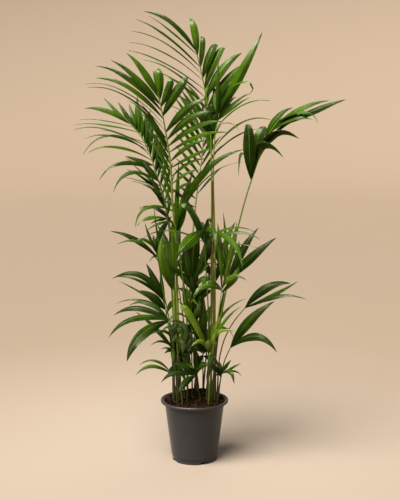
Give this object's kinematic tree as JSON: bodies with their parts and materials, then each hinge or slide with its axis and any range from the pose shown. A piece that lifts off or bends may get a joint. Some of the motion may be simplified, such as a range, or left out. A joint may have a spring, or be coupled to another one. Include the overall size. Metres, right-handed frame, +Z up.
{
  "type": "potted palm",
  "caption": "Tall indoor palm: a clump of feather-leaved fronds on slim stems, growing from dark soil in a round black nursery pot.",
  "frame": {"origin": "centre of the pot's underside, on the surface that the pot stands on", "axes": "+Z up, +X to the right and +Y to the back as the plant is seen from its front"},
  "size_m": [0.8995, 0.5885, 1.5792],
  "materials": {
    "pot": "satin",
    "soil": "matte",
    "cane": "matte",
    "dry_sheath": "matte",
    "foliage": "satin",
    "young_foliage": "satin"
  },
  "bodies": {
    "root": {"pot": "pot", "soil": "soil", "support_cane": "cane", "old_leaf_base_a": "dry_sheath", "old_leaf_base_b": "dry_sheath", "frond_top": "foliage", "frond_front": "foliage", "frond_left": "foliage", "frond_back": "foliage", "frond_crown_right": "foliage", "frond_right_arm": "foliage", "frond_left_arch": "foliage", "frond_mid_upright": "foliage", "frond_centre_droop": "foliage", "frond_young_split": "young_foliage", "frond_dark_cup": "foliage", "frond_left_low_a": "foliage", "frond_left_low_b": "foliage", "frond_left_low_c": "foliage", "frond_left_low_d": "foliage", "frond_left_low_e": "foliage", "frond_low_front": "foliage", "frond_low_right": "foliage", "frond_right_low_pair": "foliage", "frond_right_low_trio": "foliage", "frond_right_mid": "foliage", "frond_centre_right": "young_foliage", "frond_young_pale": "young_foliage", "frond_dark_centre": "foliage", "frond_centre_left": "foliage", "frond_back_left": "foliage", "frond_back_right": "foliage", "frond_back_low": "foliage"}
  },
  "joints": []
}
